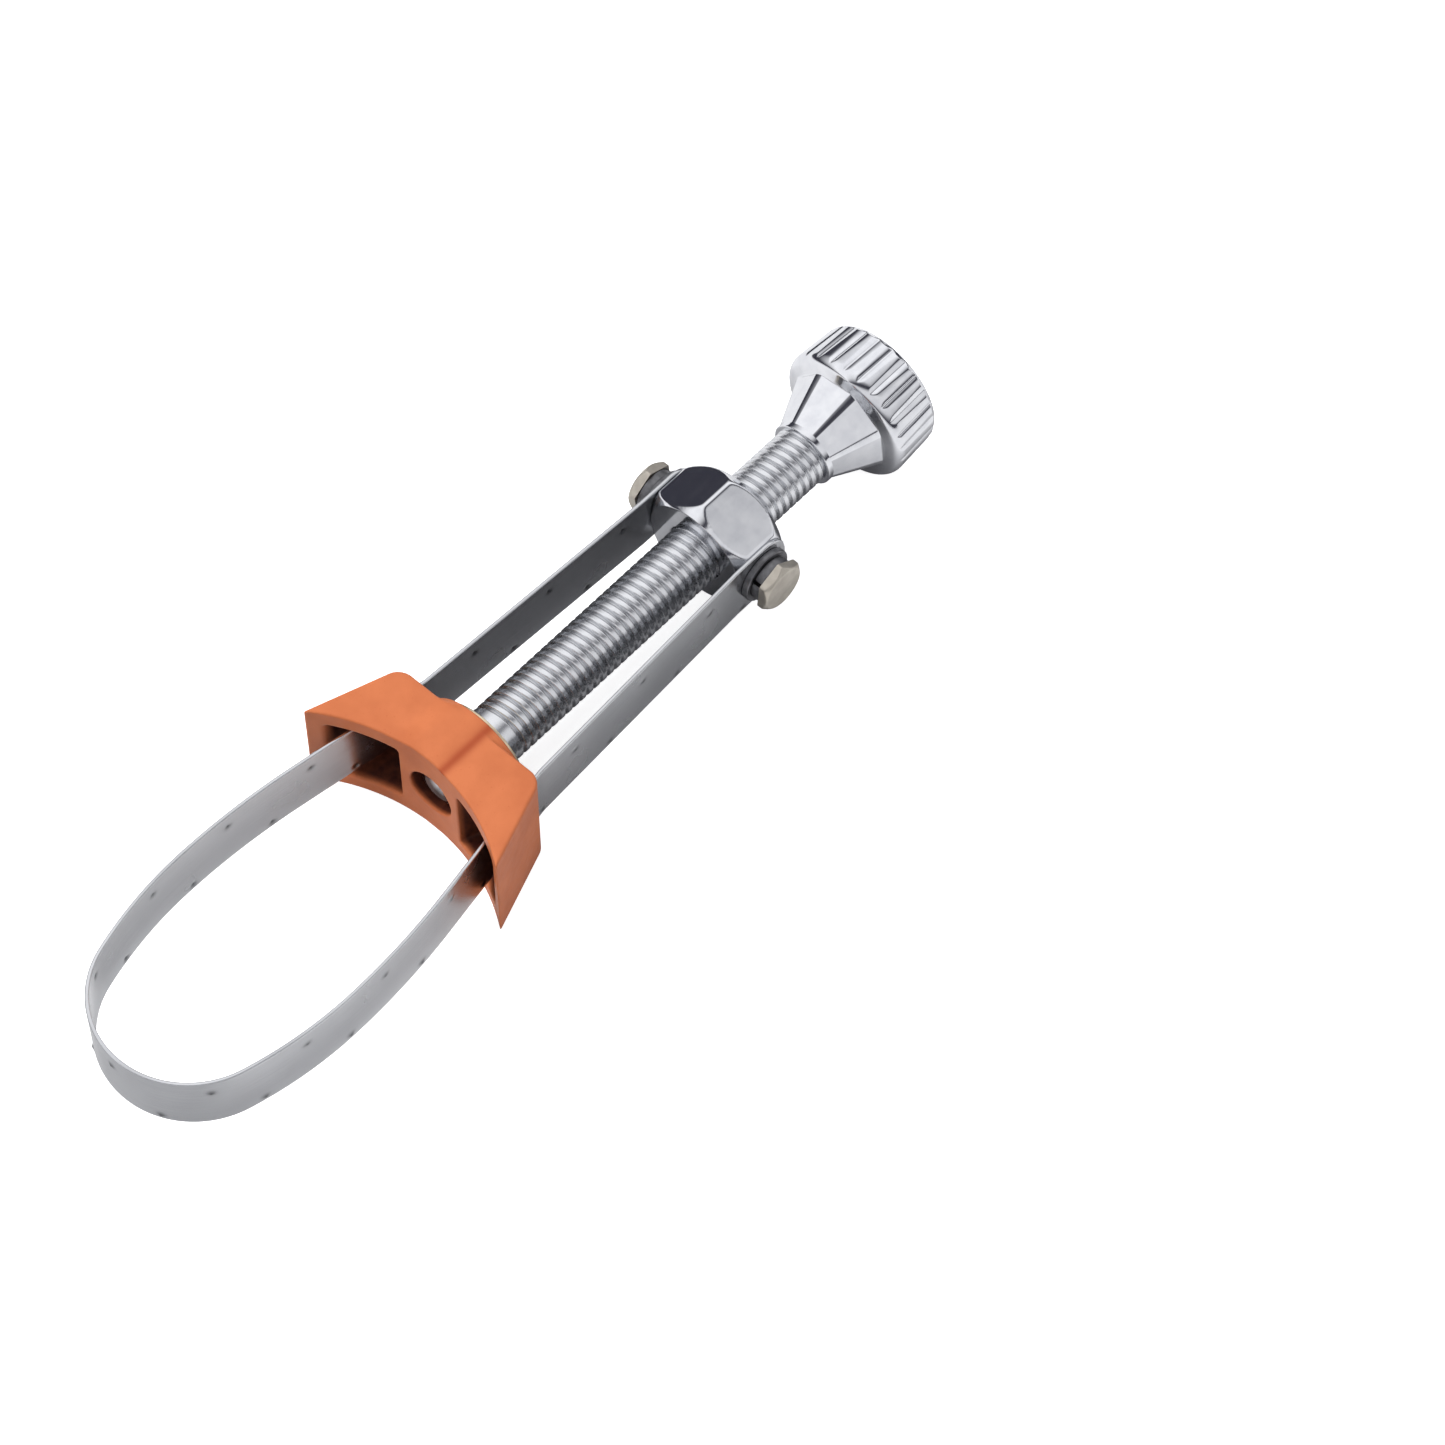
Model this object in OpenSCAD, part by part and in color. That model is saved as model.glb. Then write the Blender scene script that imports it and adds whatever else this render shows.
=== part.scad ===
// Oil filter wrench: steel band loop, die-cast saddle, tightening screw, travelling nut and fluted knob.
// Millimetres. +X runs along the screw towards the knob, +Z is up with the loop lying flat.
// The origin is the axis of the saddle's round seat, at mid-height: the centre of a gripped filter.

/* [Band] */

// Thickness of the steel strip
band_t = 0.8; // [0.5:0.1:0.9]
// Height of the steel strip, across its flat
band_h = 14.5; // [12:0.5:15]
// Half the widest opening of the loop, to the middle of the strip
loop_half_width = 22.35; // [21.5:0.05:23.5]
// Distance from the origin to the far end of the loop, to the middle of the strip
loop_reach = 39; // [36:0.5:44]
// Bend radius at the far end of the loop
loop_tip_r = 19.6; // [18:0.2:20.6]
// Bend radius of the loop's sides next to the saddle
loop_side_r = 165; // [150:5:200]
// Angle at which each side runs through the saddle
pass_angle = 9.3; // [8.6:0.1:9.8]

/* [Saddle] */

// Radius of the round seat that bears on the filter
seat_r = 43.5; // [42:0.5:45]
// Distance from the origin to the flat back of the saddle
saddle_back_x = 55.1; // [54:0.1:56]
// Half the width of the saddle's back
saddle_back_half = 18.4; // [18:0.1:20]
// Half the distance between the saddle's two sharp tips
saddle_tip_half = 25.4; // [24.5:0.1:27]
// Height of the saddle's flat top above the screw axis
saddle_top_z = 12; // [11:0.1:12.4]
// Radius of the round boss that carries the screw
boss_r = 12.6; // [12.6:0.1:13.4]
// Height of the two windows that the band runs through
window_h = 16.8; // [15.6:0.1:17.6]

/* [Screw] */

// Outside diameter of the thread
screw_d = 12.7; // [12:0.1:13]
// Distance the nut moves in one turn
thread_pitch = 1.954; // [1.5:0.001:2.2]
// Diameter of the plain end that turns in the saddle
journal_d = 8.5; // [8:0.1:9.5]

/* [Nut and bolts] */

// Distance across the flats of the travelling nut
nut_af = 24; // [23.2:0.1:25]
// Length of the travelling nut along the screw
nut_len = 12.8; // [12:0.1:14]
// Middle of the travelling nut at rest
nut_mid_x = 124; // [110:0.1:130]
// Distance across the flats of the bolt heads
bolt_af = 10; // [9:0.1:11]
// Height of the bolt heads
bolt_head_h = 2.2; // [2.1:0.1:4]
// Diameter of the bolt threads
bolt_d = 6; // [5.6:0.1:6.4]

/* [Knob] */

// Distance from the origin to the knob's narrow end
knob_x = 149; // [140:0.5:155]
// Outside radius of the fluted rim
rim_r = 15.2; // [14.6:0.1:16]
// Number of finger flutes round the rim
flutes = 26; // [20:1:28]

/* [Hidden] */

$fn = 96;
// Running clearance on a radius and gap between faces that bear on each other.
run_gap = 0.08;
face_gap = 0.02;
// Allowance by which cutting shapes pass the surfaces they cut.
over = 1;

// Saddle and the parts held in it.
saddle_bottom_z = -boss_r;
saddle_corner_r = 2.5;
// The plan starts here, well inside the seat's cut.
saddle_front_x = 30;
boss_back_x = saddle_back_x + 1.8;
washer_t = 1;
washer_od = 22;
collar_x = boss_back_x + washer_t + 2 * face_gap;
collar_len = 3;
counterbore_r = 5.4;
counterbore_x = seat_r + 5;
retainer_t = 1.2;
retainer_r = 5.1;
peen_r = 4.7;
peen_len = 2.2;
peen_bevel = 0.8;
dimple_r = 2.8;
dimple_depth = 1.2;
// Each window's two sides, first at the seat and then at the back.
window_mid_z = -0.4;
window_hub_y = [7.7, 11.9];
window_end_y = [23.4, 16.7];
window_x = [34, 60];

// The strip leaves the saddle, bends, and bends again just before the nut's flat.
// The bolts stand a little off the nut's middle, towards the saddle.
bolt_back = 0.8;
exit_gap = 3;
flat_lead = 1.6;
bend_r = 8;
band_tail = 6.6;
band_corner_r = 5.4;

// Band path: the radius behind the widest point follows from the tip radius and the reach.
tip_arm = loop_reach - loop_tip_r;
tip_rise = loop_half_width - loop_tip_r;
loop_back_r = (tip_arm * tip_arm / tip_rise + loop_half_width + loop_tip_r) / 2;
back_angle = asin(tip_arm / (loop_back_r - loop_tip_r));
pass_from = [loop_side_r * sin(pass_angle), loop_half_width - loop_side_r * (1 - cos(pass_angle))];
exit_x = saddle_back_x + exit_gap;
exit_y = pass_from[1] - (exit_x - pass_from[0]) * tan(pass_angle);
flat_x = nut_mid_x - nut_len / 2 - flat_lead;
flat_y = nut_af / 2 + face_gap + band_t / 2;
leg_angle = atan((exit_y - flat_y) / (flat_x - exit_x));
bolt_x = nut_mid_x - bolt_back;
band_end_x = bolt_x + band_tail;

// Thread form: sixty degree grooves with flats at crest and root.
thread_depth = 0.61 * thread_pitch;
thread_crest = 0.22 * thread_pitch;
thread_root = 0.12 * thread_pitch;
thread_turns = floor((knob_x - collar_x - collar_len) / thread_pitch);
root_r = screw_d / 2 - thread_depth;
spigot_len = 16;

// Nut: a hexagon whose ridges are turned down a little, and more towards both end faces.
nut_corner_r = nut_af / sqrt(3);
nut_ridge_r = nut_corner_r - 0.15;
nut_turned_r = nut_af / 2 - 0.4;
nut_turned_len = 2.4;
nut_hole_depth = 4.6;

// Bolts and their washers, as heights above the nut's flat.
flat_washer_z = band_t + 2 * face_gap;
flat_washer_t = 1.4;
flat_washer_od = bolt_d + 6;
flat_washer_play = 0.4;
lock_washer_z = flat_washer_z + flat_washer_t + face_gap;
lock_washer_t = 2;
lock_washer_od = bolt_d + 3.8;
lock_washer_play = 0.2;
// Slanting split of the lock washer: its width, its slant and its place round the bolt.
split_w = 0.4;
split_slant = 20;
split_turn = 35;
bolt_head_z = lock_washer_z + lock_washer_t + face_gap;
bolt_fit = 0.05;
bolt_end_gap = 0.4;
bolt_turn = 24;
// The head's corners are turned down from this height to its top face.
bolt_turned_h = 1.8;

// Knob stations along the axis, measured from its narrow end.
neck_r = 7.3;
neck_bevel = 0.5;
neck_ring = 1.3;
neck_top = 11.2;
neck_top_r = 11.9;
flange_round = 2.2;
flange_lean = 70;
rim_bottom = 13.95;
rim_top = 23.1;
knob_len = 24.2;
rim_bevel = 0.7;
rim_taper = 0.7;
// Eight flats on the neck, each at this share of the neck's own radius from the axis.
neck_flats = 8;
flat_share = 0.95;
flat_inset = 0.15;
flat_turn = 6;
flute_r = 1.2;
flute_depth = 0.55;
flute_turn = 2.6;

// Turns a child drawn round Z so that it lies round the screw axis.
module along_x(x) {
    translate([x, 0, 0])
        rotate([0, 90, 0])
            children();
}

// Puts a child drawn upwards round a bolt's axis on the nut's left (side = 1) or right (side = -1) flat.
module on_flat(side) {
    translate([bolt_x, side * nut_af / 2, 0])
        rotate([-90 * side, 0, 0])
            children();
}

// Flat ring round Z.
module ring(od, id, t) {
    difference() {
        cylinder(d = od, h = t);
        translate([0, 0, -over])
            cylinder(d = id, h = t + 2 * over);
    }
}

// Plan of the saddle before the seat is cut: slanting ends and rounded back corners.
module saddle_plan() {
    slant = (saddle_tip_half - saddle_back_half)
        / (saddle_back_x - sqrt(seat_r * seat_r - saddle_tip_half * saddle_tip_half));
    front_x = saddle_front_x;
    front_y = saddle_back_half + slant * (saddle_back_x - front_x);
    lean = atan(slant);
    corner_x = saddle_back_x - saddle_corner_r;
    corner_y = saddle_back_half + slant * saddle_corner_r - saddle_corner_r / cos(lean);
    touch_x = corner_x + saddle_corner_r * sin(lean);
    touch_y = corner_y + saddle_corner_r * cos(lean);
    polygon([[front_x, -front_y], [touch_x, -touch_y], [corner_x, -corner_y],
             [saddle_back_x, -corner_y], [saddle_back_x, corner_y],
             [corner_x, corner_y], [touch_x, touch_y], [front_x, front_y]]);
    for (side = [-1, 1])
        translate([corner_x, side * corner_y])
            circle(r = saddle_corner_r);
}

// One window: wide at the seat and narrowing to a slot at the back.
module window_cut() {
    translate([0, 0, window_mid_z - window_h / 2])
        linear_extrude(window_h)
            polygon([[window_x[0], window_hub_y[0]], [seat_r, window_hub_y[0]],
                     [saddle_back_x, window_hub_y[1]], [window_x[1], window_hub_y[1]],
                     [window_x[1], window_end_y[1]], [saddle_back_x, window_end_y[1]],
                     [window_x[0], window_end_y[0]]]);
}

module saddle() {
    color([0.83, 0.42, 0.22])
    difference() {
        union() {
            translate([0, 0, saddle_bottom_z])
                linear_extrude(saddle_top_z - saddle_bottom_z)
                    saddle_plan();
            along_x(seat_r - over)
                cylinder(r = boss_r, h = boss_back_x - seat_r + over);
        }
        translate([0, 0, -2 * boss_r])
            cylinder(r = seat_r, h = 4 * boss_r, $fn = 180);
        window_cut();
        mirror([0, 1, 0])
            window_cut();
        along_x(seat_r - 2 * over)
            cylinder(d = journal_d + 2 * run_gap, h = boss_back_x);
        along_x(seat_r - 2 * over)
            cylinder(r = counterbore_r, h = counterbore_x - seat_r + 2 * over);
    }
}

module thrust_washer() {
    color([0.80, 0.72, 0.50])
    along_x(boss_back_x + face_gap)
        ring(washer_od, journal_d + 4 * run_gap, washer_t);
}

module retaining_washer() {
    color([0.55, 0.55, 0.56])
    along_x(counterbore_x - face_gap - retainer_t)
        ring(2 * retainer_r, journal_d, retainer_t);
}

// Half profile of the whole screw: dimpled end, journal, collar, thread grooves and spigot.
module screw_profile() {
    r = screw_d / 2;
    flank = (thread_pitch - thread_crest - thread_root) / 2;
    head_x = counterbore_x - face_gap - retainer_t - peen_len;
    neck_x = head_x + peen_len;
    grooves = [for (i = [0 : thread_turns - 1])
        let (x = collar_x + collar_len + i * thread_pitch)
        each [[r, x], [root_r, x + flank], [root_r, x + flank + thread_root],
              [r, x + 2 * flank + thread_root]]];
    polygon(concat(
        [[0, head_x + dimple_depth], [dimple_r, head_x], [peen_r - peen_bevel, head_x],
         [peen_r, head_x + peen_bevel],
         [peen_r, neck_x], [journal_d / 2, neck_x], [journal_d / 2, collar_x], [r, collar_x]],
        grooves,
        [[r, knob_x], [root_r, knob_x], [root_r, knob_x + spigot_len], [0, knob_x + spigot_len]]));
}

module screw() {
    color([0.70, 0.71, 0.72])
    along_x(0)
        rotate_extrude()
            screw_profile();
}

// One of the tapered flats of the neck, cut down to its own plane.
module neck_flat_cut() {
    bottom = neck_r * flat_share;
    top = neck_top_r * flat_share;
    slope = atan((top - bottom) / (neck_top - neck_ring));
    intersection() {
        translate([bottom, 0, neck_ring])
            rotate([0, slope, 0])
                translate([0, -neck_top_r, -2 * over])
                    cube([2 * rim_r, 2 * neck_top_r, 2 * rim_r]);
        translate([0, -rim_r, neck_ring + flat_inset])
            cube([2 * rim_r, 2 * rim_r, neck_top - neck_ring - 2 * flat_inset]);
    }
}

// One finger flute, leaning with the taper of the rim.
module flute_cut() {
    lean = atan(rim_taper / (rim_top - rim_bottom));
    translate([rim_r - flute_depth + flute_r, 0, rim_bottom])
        rotate([0, -lean, 0])
            translate([0, 0, -2 * over])
                cylinder(r = flute_r, h = knob_len, $fn = 32);
}

module knob() {
    rim_end_r = rim_r - rim_taper;
    color([0.80, 0.81, 0.83])
    along_x(knob_x + face_gap)
    difference() {
        rotate_extrude()
            polygon(concat(
                [[root_r + bolt_fit, 0], [neck_r - neck_bevel, 0], [neck_r, neck_bevel],
                 [neck_r, neck_ring], [neck_top_r, neck_top]],
                arc_points([rim_r - flange_round, rim_bottom], flange_round, -flange_lean, 0, 4),
                [[rim_end_r, rim_top], [rim_end_r - rim_bevel, knob_len], [0, knob_len],
                 [0, spigot_len + over], [root_r + bolt_fit, spigot_len + over]]));
        for (i = [0 : neck_flats - 1])
            rotate([0, 0, 180 - flat_turn + 360 / neck_flats * i])
                neck_flat_cut();
        for (i = [0 : flutes - 1])
            rotate([0, 0, 180 - flute_turn + 360 / flutes * i])
                flute_cut();
    }
}

module nut() {
    half = nut_len / 2;
    color([0.78, 0.79, 0.81])
    difference() {
        intersection() {
            along_x(nut_mid_x - half)
                cylinder(r = nut_corner_r, h = nut_len, $fn = 6);
            along_x(nut_mid_x)
                rotate_extrude()
                    polygon([[0, -half], [nut_turned_r, -half],
                             [nut_ridge_r, nut_turned_len - half],
                             [nut_ridge_r, half - nut_turned_len],
                             [nut_turned_r, half], [0, half]]);
        }
        along_x(nut_mid_x - half - over)
            cylinder(d = screw_d + 2 * run_gap, h = nut_len + 2 * over);
        for (side = [-1, 1])
            on_flat(side)
                translate([0, 0, -nut_hole_depth])
                    cylinder(d = bolt_d, h = nut_hole_depth + over);
    }
}

// Points on an arc about a centre, from one angle to another.
function arc_points(centre, r, from, to, count) =
    [for (i = [0 : count])
        let (a = from + (to - from) * i / count)
        centre + r * [cos(a), sin(a)]];

// Centre of a bend that turns the strip outwards at a corner, between two slopes.
function bend_centre(corner, slope_in, slope_out) =
    corner + bend_r / cos((slope_in - slope_out) / 2)
        * [sin((slope_in + slope_out) / 2), cos((slope_in + slope_out) / 2)];

// One face of the strip on the left side, from the far end of the loop to the nut.
// The offset is half the strip's thickness: positive for the outer face, negative for the inner.
function strip_face(offset) = concat(
    arc_points([-tip_arm, 0], loop_tip_r + offset, 180, 90 + back_angle, 20),
    arc_points([0, loop_half_width - loop_back_r], loop_back_r + offset, 90 + back_angle, 90, 8),
    arc_points([0, loop_half_width - loop_side_r], loop_side_r + offset, 90, 90 - pass_angle, 8),
    arc_points(bend_centre([exit_x, exit_y], pass_angle, leg_angle), bend_r - offset,
        270 - pass_angle, 270 - leg_angle, 3),
    arc_points(bend_centre([flat_x, flat_y], leg_angle, 0), bend_r - offset,
        270 - leg_angle, 270, 2),
    [[band_end_x, flat_y + offset]]);

// List of points in reverse order, and the same points on the other side of the axis.
function reversed(points) = [for (i = [len(points) - 1 : -1 : 0]) points[i]];
function other_side(points) = [for (p = points) [p[0], -p[1]]];

// Points of a list without the first one.
function tail(points) = [for (i = [1 : len(points) - 1]) points[i]];

// Side view of the strip: straight edges with rounded corners at the bolted end.
module strip_side_view() {
    round_x = band_end_x - band_corner_r;
    translate([-2 * loop_reach, -band_h / 2])
        square([2 * loop_reach + round_x, band_h]);
    translate([0, -band_h / 2 + band_corner_r])
        square([band_end_x, band_h - 2 * band_corner_r]);
    for (side = [-1, 1])
        translate([round_x, side * (band_h / 2 - band_corner_r)])
            circle(r = band_corner_r);
}

module band() {
    outer = strip_face(band_t / 2);
    inner = strip_face(-band_t / 2);
    color([0.66, 0.67, 0.69])
    difference() {
        intersection() {
            translate([0, 0, -band_h])
                linear_extrude(2 * band_h)
                    polygon(concat(reversed(tail(other_side(outer))), outer,
                        reversed(tail(inner)), other_side(inner)));
            translate([0, nut_af, 0])
                rotate([90, 0, 0])
                    linear_extrude(2 * nut_af)
                        strip_side_view();
        }
        for (side = [-1, 1])
            on_flat(side)
                translate([0, 0, -over])
                    cylinder(d = bolt_d + flat_washer_play, h = band_t + 2 * over);
    }
}

module bolt(side) {
    color([0.74, 0.70, 0.62])
    on_flat(side) {
        intersection() {
            translate([0, 0, bolt_head_z])
                rotate([0, 0, bolt_turn])
                    cylinder(d = bolt_af * 2 / sqrt(3), h = bolt_head_h, $fn = 6);
            translate([0, 0, bolt_head_z])
                rotate_extrude()
                    polygon([[0, 0], [bolt_af, 0], [bolt_af, bolt_head_h - bolt_turned_h],
                             [bolt_af / 2, bolt_head_h], [0, bolt_head_h]]);
        }
        translate([0, 0, bolt_end_gap - nut_hole_depth])
            cylinder(d = bolt_d - 2 * bolt_fit, h = bolt_head_z + nut_hole_depth - bolt_end_gap);
    }
}

module flat_washer(side) {
    color([0.36, 0.36, 0.37])
    on_flat(side)
        translate([0, 0, flat_washer_z])
            ring(flat_washer_od, bolt_d + flat_washer_play, flat_washer_t);
}

module lock_washer(side) {
    color([0.45, 0.45, 0.46])
    on_flat(side)
        translate([0, 0, lock_washer_z])
            difference() {
                ring(lock_washer_od, bolt_d + lock_washer_play, lock_washer_t);
                translate([0, 0, lock_washer_t / 2])
                    rotate([split_slant, 0, split_turn])
                        translate([0, -split_w / 2, -lock_washer_t])
                            cube([lock_washer_od, split_w, 2 * lock_washer_t]);
            }
}

saddle();
thrust_washer();
retaining_washer();
screw();
knob();
nut();
band();
bolt(1);  // bolt_left
bolt(-1);  // bolt_right
flat_washer(1);  // flat_washer_left
flat_washer(-1);  // flat_washer_right
lock_washer(1);  // lock_washer_left
lock_washer(-1);  // lock_washer_right
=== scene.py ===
"""Looks of the oil filter wrench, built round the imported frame.

Lengths in this script are millimetres unless a name says otherwise.
Meshes are scaled to metres as they are made.
+X runs along the screw to the knob, +Z is up, and the origin is the axis of the saddle's round seat.
"""

import math

import bmesh
import bpy
import numpy as np
from mathutils import Matrix, Vector


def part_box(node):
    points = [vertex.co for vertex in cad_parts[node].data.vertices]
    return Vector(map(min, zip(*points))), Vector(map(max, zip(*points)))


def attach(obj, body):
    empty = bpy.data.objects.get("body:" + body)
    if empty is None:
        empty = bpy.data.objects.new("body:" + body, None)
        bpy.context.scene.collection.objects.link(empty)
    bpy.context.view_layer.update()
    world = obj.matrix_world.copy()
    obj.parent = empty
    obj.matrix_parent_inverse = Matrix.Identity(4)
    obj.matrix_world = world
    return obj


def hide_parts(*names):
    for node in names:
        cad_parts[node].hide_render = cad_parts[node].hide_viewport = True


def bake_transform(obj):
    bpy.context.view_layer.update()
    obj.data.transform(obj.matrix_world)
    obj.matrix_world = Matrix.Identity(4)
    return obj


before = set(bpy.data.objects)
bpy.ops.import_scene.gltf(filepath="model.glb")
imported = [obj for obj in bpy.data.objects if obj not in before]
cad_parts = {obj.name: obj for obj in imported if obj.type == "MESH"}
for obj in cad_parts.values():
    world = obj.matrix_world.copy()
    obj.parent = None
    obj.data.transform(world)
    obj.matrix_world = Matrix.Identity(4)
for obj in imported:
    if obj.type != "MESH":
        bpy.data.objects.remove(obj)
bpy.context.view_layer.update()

MM = 0.001
TURN = 2 * math.pi
MERGE_DISTANCE = 0.0001 * MM


def cad_span(node):
    """Lowest and highest corner of a CAD node, in millimetres."""
    low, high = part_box(node)
    return np.array(low) / MM, np.array(high) / MM


# ---------------------------------------------------------------- dimensions

SEAT_R = 43.5
SADDLE_BACK_X = 55.1
SADDLE_BACK_HALF = 18.4
SADDLE_TIP_HALF = 25.4
SADDLE_TOP = 12.0
SADDLE_CORNER_R = 2.5
BOSS_R = 12.6
BOSS_BACK_X = cad_span("saddle")[1][0]
WINDOW_TOP = 8.0
WINDOW_BOTTOM = -8.8
WINDOW_FRONT_X = 34.0
WINDOW_HUB_Y = (7.7, 11.9)
WINDOW_END_Y = (23.4, 16.7)
COUNTERBORE_R = 5.4
COUNTERBORE_X = 48.5
JOURNAL_R = 4.25
THRUST_WASHER_BORE_R = 4.41
# Painted shade along the crease across the saddle's top beside the boss.
CREASE_Y = -3.5
CREASE_HALF_WIDTH = 0.95
CREASE_SHADE = 0.75
SADDLE_CELL = 0.35

THREAD_R = 6.35
PITCH = 1.954
THREAD_DEPTH = 0.34 * PITCH
COLLAR_X = 57.94
COLLAR_LEN = 3.0
PEEN_R = 4.7
SPIGOT_R = 5.1

NUT_MID_X = float(np.mean([c[0] for c in cad_span("nut")]))
NUT_HALF_LEN = 6.4
NUT_AF = 24.0
NUT_EDGE_R = 1.0
NUT_TURNED_R = 11.6
NUT_TURNED_LEN = 2.4
BOLT_AF = 10.0
BOLT_R = 3.0
BOLT_X = NUT_MID_X - 0.8
BOLT_HEAD = 2.2
# Heights above the nut's flat.
FLAT_WASHER_AT = 0.84
FLAT_WASHER_T = 1.4
LOCK_WASHER_AT = 2.26
LOCK_WASHER_T = 2.0
BOLT_HEAD_AT = 4.28

STRIP_T = 0.8
STRIP_H = 14.5
STRIP_END_X = cad_span("band")[1][0]
LOOP_HALF_WIDTH = 22.35
LOOP_REACH = 39.0
LOOP_TIP_R = 19.6
LOOP_SIDE_R = 165.0
PASS_ANGLE = math.radians(9.3)
EXIT_X = SADDLE_BACK_X + 3
FLAT_X = NUT_MID_X - NUT_HALF_LEN - 1.6
FLAT_Y = NUT_AF / 2 + 0.02 + STRIP_T / 2
BEND_R = 8.0
STRIP_END_ROUND = 5.4
# The strip is made in a loop and two legs that meet at JOINT_X.
JOINT_X = 45.1
DENT_SPACING = 10.0
DENT_START = 8.6
DENT_ROWS = (-5.8, 3.6)
DENT_R = 0.55
DENT_DEPTH = 0.3

KNOB_X = cad_span("knob")[0][0]
KNOB_LEN = 24.2
KNOB_BORE_LEN = 16.8
KNOB_BORE_R = 5.2
NECK_R = 7.3
NECK_RING = 1.3
NECK_TOP = 11.2
NECK_TOP_R = 11.9
NECK_FLATS = 8
FLAT_SHARE = 0.95
FLAT_TURN = math.radians(6)
FLANGE_ROUND = 2.2
RIM_BOTTOM = 13.95
RIM_TOP = 23.1
RIM_R = 15.2
RIM_TAPER = 0.7
RIM_BEVEL = 0.7
FLUTES = 26
FLUTE_TURN = math.radians(2.6)
LOBE_R = 3.4


# ---------------------------------------------------------------- mesh tools

def new_piece(name, points, faces, material):
    """A smooth-shaded mesh from points in millimetres."""
    mesh = bpy.data.meshes.new(name)
    mesh.from_pydata((np.asarray(points, float) * MM).tolist(), [], faces)
    mesh.update()
    mesh.shade_smooth()
    mesh.materials.append(material)
    piece = bpy.data.objects.new(name, mesh)
    bpy.context.scene.collection.objects.link(piece)
    return piece


def add_values(piece, name, values):
    """Stores one number per point, for the material to read."""
    layer = piece.data.attributes.new(name, "FLOAT", "POINT")
    layer.data.foreach_set("value", np.asarray(values, np.float32))


def keep_flats_flat(piece):
    """Normals follow the larger faces, so flats stay flat next to small rounded edges."""
    modifier = piece.modifiers.new("flats", "WEIGHTED_NORMAL")
    modifier.mode = "FACE_AREA"
    modifier.weight = 60
    modifier.keep_sharp = True


def flat_ends(piece):
    """The last two faces close the ends of a swept piece: shade them flat, with sharp edges."""
    for face in list(piece.data.polygons)[-2:]:
        face.use_smooth = False


def rounded(corners, closed=False, steps=4):
    """Outline through (x, r, radius) corners with each corner rounded to its radius."""
    corners = [np.array(c, float) for c in corners]
    count = len(corners)
    outline = []
    for i, corner in enumerate(corners):
        here, radius = corner[:2], corner[2]
        ends = not closed and i in (0, count - 1)
        if ends or radius == 0:
            outline.append(here)
            continue
        to_last = corners[i - 1][:2] - here
        to_next = corners[(i + 1) % count][:2] - here
        to_last /= np.linalg.norm(to_last)
        to_next /= np.linalg.norm(to_next)
        half = math.acos(np.clip(to_last @ to_next, -1, 1)) / 2
        reach = radius / math.tan(half)
        middle = here + (to_last + to_next) / np.linalg.norm(to_last + to_next) * radius / math.sin(half)
        start = here + to_last * reach - middle
        end = here + to_next * reach - middle
        swing = math.pi - 2 * half
        for k in range(steps + 1):
            t = k / steps
            a = math.sin((1 - t) * swing) / math.sin(swing)
            b = math.sin(t * swing) / math.sin(swing)
            outline.append(middle + a * start + b * end)
    return outline


def divided(outline, step, closed=False):
    """The outline with its long stretches divided to at most step."""
    points = []
    pairs = zip(outline, outline[1:] + outline[:1]) if closed else zip(outline, outline[1:])
    for a, b in pairs:
        parts = max(1, math.ceil(np.linalg.norm(b - a) / step))
        points += [a + (b - a) * k / parts for k in range(parts)]
    if not closed:
        points.append(outline[-1])
    return points


def lathe(name, outline, material, segments, limit=None, closed=False, place=None):
    """Spins (along, radius) points round the X axis. limit(along, angle) is the largest radius there."""
    outline = np.array(outline)
    angles = np.arange(segments) * TURN / segments
    along = np.repeat(outline[:, 0], segments)
    radius = np.repeat(outline[:, 1], segments)
    angle = np.tile(angles, len(outline))
    if limit is not None:
        radius = np.minimum(radius, limit(along, angle))
    points = np.stack([along, radius * np.cos(angle), radius * np.sin(angle)], 1)
    faces = []
    rows = len(outline)
    last = rows if closed else rows - 1
    for i in range(last):
        a = i * segments
        b = ((i + 1) % rows) * segments
        for j in range(segments):
            k = (j + 1) % segments
            faces.append((a + j, b + j, b + k, a + k))
    if not closed:
        points = np.vstack([points, [[outline[0][0], 0, 0]], [[outline[-1][0], 0, 0]]])
        first_pole, last_pole = rows * segments, rows * segments + 1
        a = (rows - 1) * segments
        for j in range(segments):
            k = (j + 1) % segments
            faces.append((first_pole, j, k))
            faces.append((last_pole, a + k, a + j))
    if place is not None:
        points = place(points)
    piece = new_piece(name, points, faces, material)
    merge_axis_points(piece)
    keep_flats_flat(piece)
    return piece


def merge_axis_points(piece):
    """Joins the points of a turned piece that lie together on its axis, so no face there is without area."""
    work = bmesh.new()
    work.from_mesh(piece.data)
    bmesh.ops.remove_doubles(work, verts=work.verts, dist=MERGE_DISTANCE)
    work.to_mesh(piece.data)
    work.free()


def round_and(a, b, r):
    """Distance to what two shapes share, with the edge between them rounded to r."""
    return np.minimum(-r, np.maximum(a, b)) + np.hypot(np.maximum(r + a, 0), np.maximum(r + b, 0))


def round_or(a, b, r):
    """Distance to two shapes joined, with a fillet of radius r."""
    return np.maximum(r, np.minimum(a, b)) - np.hypot(np.maximum(r - a, 0), np.maximum(r - b, 0))


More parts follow.
